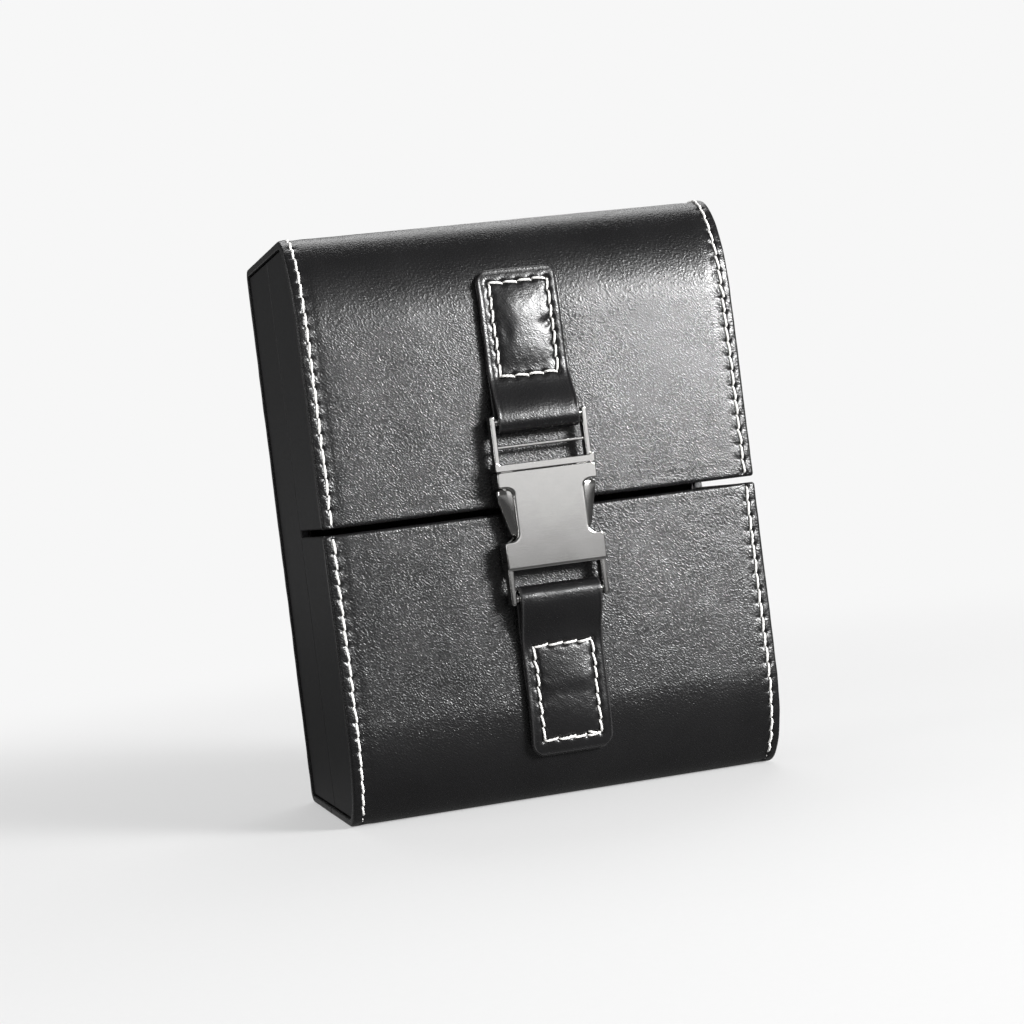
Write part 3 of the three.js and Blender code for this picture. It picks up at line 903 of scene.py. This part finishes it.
def skin(name, path, rows, nodes, body, blend, start_r, end_r, lip=None):
    ob = sheet(name, path, SKIN_SEC, SKIN_T, 0.42, start_r, end_r, skin_move(path, rows, lip))
    co = np.zeros(len(ob.data.vertices) * 3)
    ob.data.vertices.foreach_get("co", co)
    x = np.abs(co[0::3]) * 1000
    # the outer half millimetre of the flange gets the lighter edge colour, partly edge paint and partly a painted
    # highlight
    set_edge(ob, np.clip((x - (XE - 0.55)) / 0.4, 0, 1))
    return finish_piece(ob, body, LEATHER, nodes, blend)


EDGE_IN = 6.5
for up in (True, False):
    n = "upper" if up else "lower"
    lip = UPPER_LIP if up else LOWER_LIP
    path = Path(door_points(up, 0.0, YS + HINGE, lip))
    off = (YS + HINGE) - (YS - EDGE_IN)
    rows = {s: Row(20 + 5 * up + s, off + 0.3, path.length - 1.0) for s in (-1, 1)}
    zt = H if up else 0.0
    blend = (("rear_tray", n + "_door"), (0, (YS + HINGE) * MM, zt * MM), (0, (YS - HINGE) * MM, zt * MM))
    skin(n + "_door_leather", path, rows, (n + "_leather_skin", ("top" if up else "bottom") + "_hinge_leather"),
         None, blend, (0, 0), (0.95, 0.6), lip=True)
    for s in (-1, 1):
        side = "left" if s < 0 else "right"
        ob = row_mesh(f"{side}_{n}_thread", path, rows[s], s, 100 + 10 * up + s)
        finish_piece(ob, n + "_door", THREAD, (f"{side}_{n}_stitching",))

rear_path = Path(rear_points(0.0, YS + HINGE))
rows = {s: Row(40 + s, EDGE_IN - HINGE + 0.3, rear_path.length - (EDGE_IN - HINGE) - 0.3) for s in (-1, 1)}
skin("rear_leather", rear_path, rows, ("rear_leather_skin",), "rear_tray", None, (0, 0), (0, 0))
for s in (-1, 1):
    side = "left" if s < 0 else "right"
    ob = row_mesh(f"{side}_rear_thread", rear_path, rows[s], s, 140 + s)
    finish_piece(ob, "rear_tray", THREAD, (f"{side}_rear_stitching",))

# ------------------------------------------------------------------ end panels, boards and linings
END_SOFT = smooth_noise(31, 9, 0.015, 0.05)


def side_plate(name, outline, x0, x1, r, body, material, node, dome=()):
    """A plate that stands across the case, from x0 to its outer side x1."""
    v, f = plate(outline, x0, x1, 0.2, r, lambda a, b, t: (t, a, b), dome=dome)
    ob = new_object(name, v, f)
    fix_normals(ob)
    sharp_shade(ob, 40)
    return finish_piece(ob, body, material, node)


def dense(pts, step=2.0):
    p = np.asarray(pts, float)
    out = []
    for a, b in zip(p, np.roll(p, -1, 0)):
        k = max(1, int(round(np.linalg.norm(b - a) / step)))
        out += [a + (b - a) * i / k for i in range(k)]
    return out


X_IN = PANEL_IN - GAP
I_PANEL, I_BOARD = SKIN_T + GAP, SKIN_T + GAP
I_LINING = I_BOARD + BOARD_T + GAP
BOARD_SEC = section(X_IN, BOARD_T, 0.12, 0.12, 1.0, 6.0, 3.0)
LINING_SEC = section(X_IN - 0.05, LINING_T, 0.15, 0.15, 1.0, 6.0, 3.0)

for up in (True, False):
    n = "upper" if up else "lower"
    lip = UPPER_LIP if up else LOWER_LIP
    away = 1 if up else -1
    trim = lip + away * 0.15
    line = door_points(up, I_PANEL, YS - 0.2, trim, 40)
    out = line + [[YS - 0.2, trim]]
    for s in (-1, 1):
        side = "left" if s < 0 else "right"
        side_plate(f"{side}_{n}_end", dense(out, 3.0), s * PANEL_IN, s * PANEL_OUT, 0.45, n + "_door", END_LEATHER,
                   (f"{side}_{n}_end_panel",))
        inner = door_points(up, I_LINING + 0.1, YS - 0.7, lip + away * 0.3, 40) + [[YS - 0.7, lip + away * 0.3]]
        side_plate(f"{side}_{n}_lining", dense(inner, 4.0), s * (X_IN - LINING_T), s * (X_IN - 0.02), 0.1, n + "_door", LINING,
                   ())
    p = Path(door_points(up, I_BOARD, YS - 0.4, lip + away * 1.2))
    ob = sheet(n + "_board", p, BOARD_SEC, BOARD_T, 2.0, (0.1, 0.1), (0.1, 0.1))
    finish_piece(ob, n + "_door", BOARD, (n + "_door_board",))
    p = Path(door_points(up, I_LINING, YS - 0.6, lip + away * 0.3))
    ob = sheet(n + "_lining", p, LINING_SEC, LINING_T, 2.0, (0.1, 0.1), (0.1, 0.1))
    finish_piece(ob, n + "_door", LINING, (n + "_door_lining",))

out = rear_points(I_PANEL, YS + 0.2)
for s in (-1, 1):
    side = "left" if s < 0 else "right"
    side_plate(f"{side}_rear_end", dense(out, 3.0), s * PANEL_IN, s * PANEL_OUT, 0.45, "rear_tray", END_LEATHER,
               (f"{side}_rear_end_panel",))
    inner = rear_points(I_LINING + 0.1, YS + 0.7, r=I_LINING + 1.6)
    side_plate(f"{side}_rear_lining", dense(inner, 4.0), s * (X_IN - LINING_T), s * (X_IN - 0.02), 0.1, "rear_tray", LINING,
               ())
y1 = YB - I_BOARD - 0.8
for name, z0, z1 in (("rear_top_board", H - I_BOARD - BOARD_T, H - I_BOARD), ("rear_bottom_board", I_BOARD, I_BOARD + BOARD_T)):
    v, f = plate([[-X_IN, YS + 0.4], [X_IN, YS + 0.4], [X_IN, y1], [-X_IN, y1]], z0, z1, 0.12, 0.12, lambda a, b, t: (a, b, t), steps=2)
    ob = sharp_shade(fix_normals(new_object(name + "_wood", v, f)))
    finish_piece(ob, "rear_tray", BOARD, (name,))
v, f = plate([[-X_IN, I_LINING], [X_IN, I_LINING], [X_IN, H - I_LINING], [-X_IN, H - I_LINING]], YB - I_BOARD - BOARD_T, YB - I_BOARD, 0.12, 0.12, lambda a, b, t: (a, t, b), steps=2)
ob = sharp_shade(fix_normals(new_object("back_board_wood", v, f)))
finish_piece(ob, "rear_tray", BOARD, ("back_board",))
p = Path(rear_points(I_LINING, YS + 0.6, r=I_LINING + 1.6))
ob = sheet("rear_lining", p, LINING_SEC, LINING_T, 1.0, (0.1, 0.1), (0.1, 0.1))
finish_piece(ob, "rear_tray", LINING, ("rear_tray_lining",))

# ------------------------------------------------------------------ straps
STRAP_HALF, STRAP_T = 12.0, 2.9
LAYER = 1.38
LOOP_OUT = 3.4
FRONT_A = 16.5


def bezier(p, n):
    t = np.linspace(0, 1, n + 1)[:, None]
    p = np.asarray(p, float)
    return (1 - t) ** 3 * p[0] + 3 * (1 - t) ** 2 * t * p[1] + 3 * (1 - t) * t * t * p[2] + t ** 3 * p[3]


def strap(up):
    n = "upper" if up else "lower"
    lo, hi = box(n + "_strap")
    z_bar = MALE_Z if up else FEMALE_Z
    away = 1 if up else -1
    end = hi[2] - z_bar if up else z_bar - lo[2]
    r_corner = 4.2 if up else 4.2
    z_lo, z_hi = (123.2, 150.2) if up else (18.5, 45.6)
    a_lo, a_hi = sorted(((z_lo - z_bar) * away, (z_hi - z_bar) * away))

    def place(out, a):
        z = z_bar + away * a
        return [face_y(z) - out, z]

    back = [(0.12, a) for a in np.linspace(end, 13, 40)]
    back += [tuple(q) for q in bezier([(0.12, 13), (0.12, 8), (BAR_OUT - LOOP_OUT, 6), (BAR_OUT - LOOP_OUT, 0)], 14)[1:]]
    loop = [(BAR_OUT + LOOP_OUT * math.cos(t), LOOP_OUT * math.sin(t)) for t in np.linspace(-math.pi, 0, 30)[1:]]
    front = [tuple(q) for q in bezier([(BAR_OUT + LOOP_OUT, 0), (BAR_OUT + LOOP_OUT, 6), (STRAP_T + 0.12, 8.5), (STRAP_T, FRONT_A)], 26)[1:]]
    front += [(STRAP_T, a) for a in np.linspace(FRONT_A, end, 60)[1:]]
    uv = back + loop + front
    path = Path([place(o, a) for o, a in uv], outward=False)
    if path.n[-1][0] > 0:
        path.n = -path.n
    # length along the path to height along the strap, and whether it is the outer layer
    pts = path.p
    a_of_s = (pts[:, 1] - z_bar) * away
    front_from = path.s[len(back) + len(loop) - 1]

    def s_of_a(a):
        k = path.s >= front_from
        return np.interp(a, a_of_s[k], path.s[k])

    s_lo, s_hi = s_of_a(a_lo), s_of_a(a_hi)
    half_x = 8.6
    top_n, side_n = 4, 7
    r = np.random.default_rng(70 + up)
    corners = {}
    seg = []                                           # each stitch: (s, x) to (s, x)

    def run(p, q, k):
        t = np.linspace(0, 1, k + 1)
        pts = [np.array(p) * (1 - v) + np.array(q) * v for v in t]
        for i in range(1, k):
            pts[i] = pts[i] + r.normal(0, 0.14, 2)
        return pts

    c = [(s_lo, -half_x), (s_hi, -half_x), (s_hi, half_x), (s_lo, half_x)]
    c = [(a + r.normal(0, 0.12), b + r.normal(0, 0.15)) for a, b in c]
    sides = [run(c[0], c[1], side_n), run(c[1], c[2], top_n), run(c[2], c[3], side_n), run(c[3], c[0], top_n)]
    for run_pts in sides:
        seg += [(run_pts[i], run_pts[i + 1]) for i in range(len(run_pts) - 1)]
    holes = np.array([p for run_pts in sides for p in run_pts])
    wr1, wr2, wr3 = smooth_noise(80 + up, 10, 0.03, 0.16), smooth_noise(90 + up, 12, 0.12, 0.42), smooth_noise(95 + up, 6, 0.03, 0.08)
    s_mid, s_half = (s_lo + s_hi) / 2, (s_hi - s_lo) / 2

    def width(s):
        w = STRAP_HALF
        for e in (path.length - s, s):
            if e < r_corner:
                w = min(w, STRAP_HALF - r_corner + math.sqrt(max(0, r_corner ** 2 - (r_corner - max(e, 0.03)) ** 2)))
        return w / STRAP_HALF

    def move(S, X, W):
        on_front = np.clip((S - front_from) / 3.0, 0, 1)
        u = np.abs(X) / half_x
        v = np.abs(S - s_mid) / s_half
        # distance to the stitch rectangle, negative inside
        dx, ds = np.abs(X) - half_x, np.abs(S - s_mid) - s_half
        d = np.where((dx > 0) & (ds > 0), np.hypot(dx, ds), np.maximum(dx, ds))
        inside = d < 0
        pad = np.clip(-d / 2.2, 0, 1)
        pad = np.sin(pad * math.pi / 2) ** 1.3
        # a stuffed pad whose crest lies off the middle, dented where stitches pull it in
        crest = (-2.6 + 1.6 * np.exp(-(((S - s_mid) / 5.0) ** 2))) if up else 4.6
        left = np.sin(np.clip((X + half_x) / (crest + half_x), 0, 1) * math.pi / 2)
        right = 1 - np.clip((X - crest) / (half_x - crest), 0, 1) ** 1.7
        across = np.where(X < crest, left, right)
        along = 1 - np.clip(v, 0, 1) ** 3.5
        puff = np.where(inside, (0.80 if up else 0.52) * across * along, 0.0)
        wrinkle = pad * (0.15 * wr1(X * 0.6, S * 0.7) + 0.03 * wr2(X, S * 1.2))
        if up:
            ridge_ = -0.55 * np.exp(-(((X - 7.4) / 2.3) ** 2) - ((S - s_mid - 0.6) / 1.5) ** 2)
            ridge_ = ridge_ - 0.22 * np.exp(-(((X + 5.4) / 1.5) ** 2) - ((S - s_mid + 1.0) / 3.0) ** 2)
        else:
            ridge_ = 0.34 * (1 - ramp01(S + 0.06 * X, s_mid - 3.4, s_mid + 1.6)) - 0.12
            ridge_ = ridge_ - 0.20 * np.exp(-(((X + 8.0) / 2.2) ** 2) - ((S - s_mid - 0.5) / 2.2) ** 2)
        groove = -0.22 * np.exp(-((d / 0.50) ** 2))
        rim = 0.06 * np.exp(-(((d - 1.5) / 0.9) ** 2))
        dist = np.full(S.shape, 9.0)
        for hs, hx in holes:
            dist = np.minimum(dist, np.hypot(S - hs, X - hx))
        hole = -0.50 * np.exp(-((dist / 0.60) ** 2)) - 0.30 * np.exp(-((dist / 1.15) ** 2))
        half = STRAP_HALF * np.vectorize(width)(S)
        to_side = half - np.abs(X * half / STRAP_HALF)
        to_end = np.minimum(path.length - S, S)
        e = np.minimum(to_side, to_end)
        bead = 0.10 * np.exp(-(((e - 0.45) / 0.34) ** 2)) - 0.05 * np.exp(-(((e - 1.1) / 0.36) ** 2))
        soft = 0.05 * wr3(X * 1.4, S * 1.4)
        bowed = 0.35 * np.clip((S - front_from) / 6, 0, 1) * np.clip((s_lo - 1.5 - S) / 5, 0, 1)
        # the stiff end of the upper strap doesn't quite follow the curve of the door
        lift = 0.38 * np.clip((S - s_hi + 2.5) / (path.length - s_hi + 2.5), 0, 1) ** 1.3 if up else 0.0
        h = W * on_front * (puff + wrinkle + np.clip(pad * 1.3, 0, 1) * ridge_ + groove + rim * 0.5 + hole + bead + soft + lift)
        h = h + W * 0.05 * wr2(X * 0.6, S * 0.6) * (1 - on_front)
        side = np.clip((np.abs(X) - 11.0) / 1.0, 0, 1)
        return h, np.sign(X) * side * 0.10 * wr3(S * 1.5, 4 * np.sign(X))

    sec = section(STRAP_HALF, LAYER, 0.42, 0.35, 0.3, 0.5, 9.0, inner=9)
    ob = sheet(n + "_strap_leather", path, sec, LAYER, 0.36, (0.45, 0.35), (0.5, 0.35), move, width)
    co = np.zeros(len(ob.data.vertices) * 3)
    ob.data.vertices.foreach_get("co", co)
    m = len(sec)
    st = stations(path.length, 0.36, 0.45, 0.5)
    ss = np.repeat(np.array([a for a, _ in st])[:, None], m, 1).ravel()
    half = STRAP_HALF * np.vectorize(width)(ss)
    e = np.minimum(half - np.abs(co[0::3]) * 1000, np.minimum(path.length - ss, ss))
    # the strap's border gets the lighter edge colour, partly edge paint and partly a painted highlight
    set_edge(ob, np.clip((0.75 - e) / 0.35, 0, 1))
    finish_piece(ob, n + "_door", STRAP_LEATHER, (n + "_strap",))

    def surf(s, x, h):
        d, _ = move(np.asarray(s, float), np.asarray(x, float), 1.0)
        base = np.maximum(d, 0.02)
        y, z, ny, nz = path.at(s, h + 0.10)
        return np.stack([x + 0 * y, y, z], -1), np.stack([0 * y, ny, nz], -1)

    parts = []
    for i, (p, q) in enumerate(seg):
        p, q = np.array(p), np.array(q)
        t = (q - p) / np.linalg.norm(q - p)
        side = np.array([-t[1], t[0]]) * 0.22
        parts.append(stitch(surf, p + t * 0.12 - side, q - t * 0.12 + side, 200 + 60 * up + i, radius=0.35, mid=0.18, hole=-0.85))
    if not up:                                         # a few back-stitches on the row nearest the buckle's far end
        for i, (a, b) in enumerate((((s_hi + 0.5, -3.1), (s_hi - 0.1, 0.9)), ((s_hi - 0.7, 4.6), (s_hi + 0.4, 8.2)))):
            parts.append(stitch(surf, np.array(a), np.array(b), 330 + i, radius=0.37, mid=0.30, hole=-0.7))
    v, f = join_arrays(parts)
    ob = new_object(n + "_strap_thread", v, f)
    finish_piece(ob, n + "_door", THREAD, (n + "_strap_stitching",))


strap(True)
strap(False)

# ------------------------------------------------------------------ buckle
F_LO, F_HI = box("buckle_female_body")
M_LO, M_HI = box("buckle_male_frame")
HALF_W = F_HI[0]
HALF_T = BAR_Y - F_LO[1]
MOUTH_TOP, BLOCK_LOW = F_HI[2], 68.0
MOUTH_LOW, BLOCK_TOP, WAIST, CAV_X, CAV_T, POST_IN = 91.5, 76.2, 10.5, 13.2, 2.5, 12.8


def flat_piece(outline, y0, y1, r0, r1, steps=4, dome=(), wide=None):
    """A solid of an (x, z) outline between two distances ahead of the bars' line."""
    return plate(outline, y0, y1, r0, r1, lambda a, b, t: (a, BAR_Y - t, b), steps, dome, wide=wide)


def rod(z, half, r=1.4, sides=28):
    prof = [(-half, 0.0), (-half, r - 0.35)]
    prof += [(-half + 0.35 * (1 - math.cos(t)), r - 0.35 + 0.35 * math.sin(t)) for t in np.linspace(0.3, math.pi / 2, 4)]
    prof += [(-x, q) for x, q in prof[::-1]]
    verts, faces = [], []
    for x, q in prof[1:-1]:
        verts += [(x, BAR_Y - q * math.cos(2 * math.pi * j / sides), z + q * math.sin(2 * math.pi * j / sides)) for j in range(sides)]
    k = len(prof) - 2
    for i in range(k - 1):
        for j in range(sides):
            faces.append((i * sides + j, i * sides + (j + 1) % sides, (i + 1) * sides + (j + 1) % sides, (i + 1) * sides + j))
    faces.append(tuple(range(sides - 1, -1, -1)))
    faces.append(tuple((k - 1) * sides + j for j in range(sides)))
    return np.array(verts), faces


def waist_outline():
    R = 2.4
    side = arc2(HALF_W - 0.95, BLOCK_LOW + 0.95, 0.95, -90, 0, 6)
    side += arc2(HALF_W - 0.9, BLOCK_TOP - 0.9, 0.9, 0, 90, 6)
    side += arc2(WAIST + R, BLOCK_TOP + R, R, 270, 180, 12)
    side += [[WAIST, z] for z in np.linspace(BLOCK_TOP + R, MOUTH_LOW - R, 8)[1:-1]]
    side += arc2(WAIST + R, MOUTH_LOW - R, R, 180, 90, 12)
    side += arc2(HALF_W - 0.55, MOUTH_LOW + 0.55, 0.55, -90, 0, 4)
    side += arc2(HALF_W - 1.2, MOUTH_TOP - 1.2, 1.2, 0, 90, 8)
    left = [[-x, z] for x, z in side[::-1]]
    return side + left


def metal_piece(name, parts, body, node, blur=40):
    v, f = join_arrays(parts)
    ob = new_object(name, v, f)
    fix_normals(ob)
    sharp_shade(ob, blur)
    return finish_piece(ob, body, METAL, (node,))


def rect_outline(x0, x1, z0, z1, r):
    return round_corners([[x0, z0], [x1, z0], [x1, z1], [x0, z1]], r)


parts = []
o = waist_outline()
oz, ox = np.array(o)[:, 1], np.abs(np.array(o)[:, 0])
wide = 1 + 1.3 * ramp01(HALF_W - ox, 1.2, 3.2) * ramp01(oz, BLOCK_TOP - 1.5, BLOCK_TOP + 1.5) * (1 - ramp01(oz, MOUTH_LOW - 1.5, MOUTH_LOW + 0.5))
wide = wide + 0.9 * (1 - ramp01(oz, BLOCK_LOW, BLOCK_LOW + 0.9))
wide = wide - 0.35 * ramp01(oz, MOUTH_TOP - 1.2, MOUTH_TOP)
parts.append(flat_piece(o, CAV_T, HALF_T, 0.3, 0.42, 8, wide=wide))
parts.append(flat_piece(o, -CAV_T, -HALF_T, 0.3, 0.42, 8, wide=wide))
parts.append(flat_piece(rect_outline(-HALF_W + 0.03, HALF_W - 0.03, BLOCK_LOW + 0.06, 71.0, [0.95, 0.95, 0.1, 0.1]), -HALF_T + 0.05, HALF_T - 0.05, 0.8, 0.8))
for s in (-1, 1):
    a, b = sorted((s * CAV_X, s * (HALF_W - 0.03)))
    rr = [0.1, 0.1, 0.9, 0.2] if s > 0 else [0.1, 0.1, 0.2, 0.9]
    parts.append(flat_piece(rect_outline(a, b, 70.5, BLOCK_TOP - 0.03, rr), -HALF_T + 0.03, HALF_T - 0.03, 0.5, 0.5))
    rr = [0.1, 0.3, 1.2, 0.2] if s > 0 else [0.3, 0.1, 0.2, 1.2]
    parts.append(flat_piece(rect_outline(a, b, MOUTH_LOW + 0.03, MOUTH_TOP - 0.03, rr), -HALF_T + 0.03, HALF_T - 0.03, 0.5, 0.5))
    a, b = sorted((s * POST_IN, s * (HALF_W - 0.1)))
    parts.append(flat_piece(rect_outline(a, b, F_LO[2] + 0.0, BLOCK_LOW + 0.9, [0.8, 0.8, 0.1, 0.1]), -2.4, 2.4, 0.62, 0.62, 6))
parts.append(rod(FEMALE_Z, POST_IN + 0.5))
metal_piece("buckle_female", parts, "buckle_female", "buckle_female_body")

parts = []
LEDGE = [[-HALF_W, MOUTH_TOP + 0.16], [HALF_W, MOUTH_TOP + 0.16], [HALF_W, MOUTH_TOP + 2.75], [HALF_W - 0.5, MOUTH_TOP + 2.9],
         [HALF_W - 1.5, MOUTH_TOP + 2.15], [-HALF_W + 1.5, MOUTH_TOP + 2.15], [-HALF_W + 0.5, MOUTH_TOP + 2.9], [-HALF_W, MOUTH_TOP + 2.75]]
parts.append(flat_piece(round_corners(LEDGE, [0.3, 0.3, 0.25, 0.25, 0.5, 0.5, 0.25, 0.25]), -3.3, 3.3, 0.18, 0.18, 4))
for s in (-1, 1):
    a, b = sorted((s * POST_IN, s * (HALF_W - 0.3)))
    parts.append(flat_piece(rect_outline(a, b, MOUTH_TOP + 1.4, M_HI[2], [0.1, 0.1, 0.5, 0.5]), -1.9, 1.9, 0.38, 0.38, 6))
parts.append(flat_piece(rect_outline(-POST_IN - 0.5, POST_IN + 0.5, 102.6, 103.6, 0.3), -1.1, 1.1, 0.3, 0.3))
parts.append(rod(MALE_Z, POST_IN + 0.5))
metal_piece("buckle_male", parts, "buckle_male", "buckle_male_frame")

def prong_head(s, ring=40):
    """The sprung arrow: elliptical in section, widest at the shoulder and tapering to its foot."""
    zs = [MOUTH_LOW - 0.25, MOUTH_LOW - 0.30, MOUTH_LOW - 0.45, MOUTH_LOW - 0.75, MOUTH_LOW - 1.2, 89.4, 88.2, 86.6, 84.8, 82.8, 80.8, 79.2, 78.2, 77.6, 77.28, 77.2]
    outs = [12.6, 13.9, 14.35, 14.62, 14.72, 14.68, 14.5, 14.16, 13.72, 13.2, 12.7, 12.3, 12.0, 11.6, 11.1, 10.4]
    half = [1.5, 1.85, 1.98, 2.06, 2.1, 2.1, 2.09, 2.06, 2.0, 1.92, 1.84, 1.78, 1.7, 1.5, 1.15, 0.7]
    verts, faces = [], []
    for z, o, h in zip(zs, outs, half):
        c = 9.7
        for j in range(ring):
            a = 2 * math.pi * j / ring
            x = c + (o - c) * math.cos(a) if math.cos(a) > 0 else c + 0.5 * math.cos(a)
            sy = math.copysign(abs(math.sin(a)) ** 0.8, math.sin(a))
            verts.append((s * x, BAR_Y - h * sy, z))
    for i in range(len(zs) - 1):
        for j in range(ring):
            k = (j + 1) % ring
            faces.append((i * ring + j, i * ring + k, (i + 1) * ring + k, (i + 1) * ring + j))
    faces.append(tuple(range(ring - 1, -1, -1)))
    faces.append(tuple((len(zs) - 1) * ring + j for j in range(ring)))
    return np.array(verts), faces


for s in (-1, 1):
    side = "left" if s < 0 else "right"
    a, b = sorted((s * 9.25, s * 12.85))
    shank = flat_piece(rect_outline(a, b, 88.0, MOUTH_TOP + 0.9, 0.5), -1.75, 1.75, 0.4, 0.4)
    metal_piece(side + "_prong_metal", [prong_head(s), shank], side + "_prong_arm", side + "_prong", 50)
